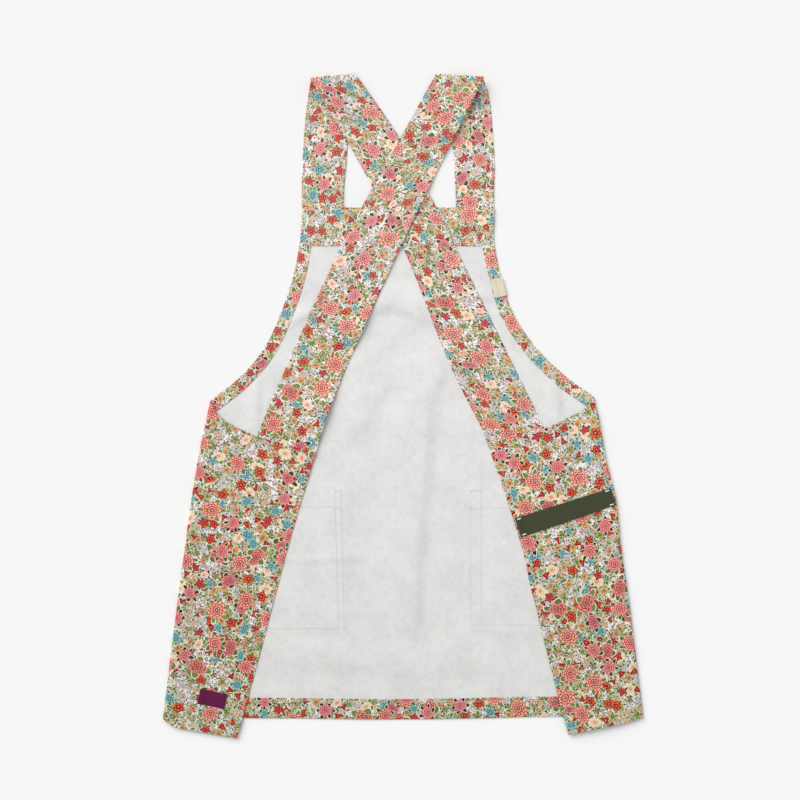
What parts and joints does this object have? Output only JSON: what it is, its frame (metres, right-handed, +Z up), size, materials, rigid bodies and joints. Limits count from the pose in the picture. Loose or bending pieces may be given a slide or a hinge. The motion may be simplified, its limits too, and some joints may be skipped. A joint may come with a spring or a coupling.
{
  "type": "cross-back pinafore apron",
  "caption": "Sleeveless cotton pinafore apron with wide straps that cross at the back, laid flat with its back up and its side panels folded over.",
  "frame": {"origin": "on the surface that the apron lies on, under the middle of its bounding box", "axes": "+X to the right of someone looking down at the back, +Y from the hem to the shoulders, +Z up"},
  "size_m": [0.653, 0.903, 0.0074],
  "materials": {
    "printed_cotton": "soft matt printed cotton lawn, pale on the reverse",
    "olive_tape": "matt olive woven tape",
    "woven_label": "smooth purple woven label, bare",
    "cream_tape": "matt cream cotton tape"
  },
  "bodies": {
    "root": {"front_panel": "printed_cotton", "bib_facing": "printed_cotton", "armhole_facing_left": "printed_cotton", "armhole_facing_right": "printed_cotton", "hem_band": "printed_cotton", "back_panel_left": "printed_cotton", "back_panel_right": "printed_cotton", "strap_left": "printed_cotton", "strap_right": "printed_cotton", "pocket_left": "printed_cotton", "pocket_right": "printed_cotton", "towel_loop": "olive_tape", "woven_label": "woven_label", "side_tab": "cream_tape"}
  },
  "joints": []
}
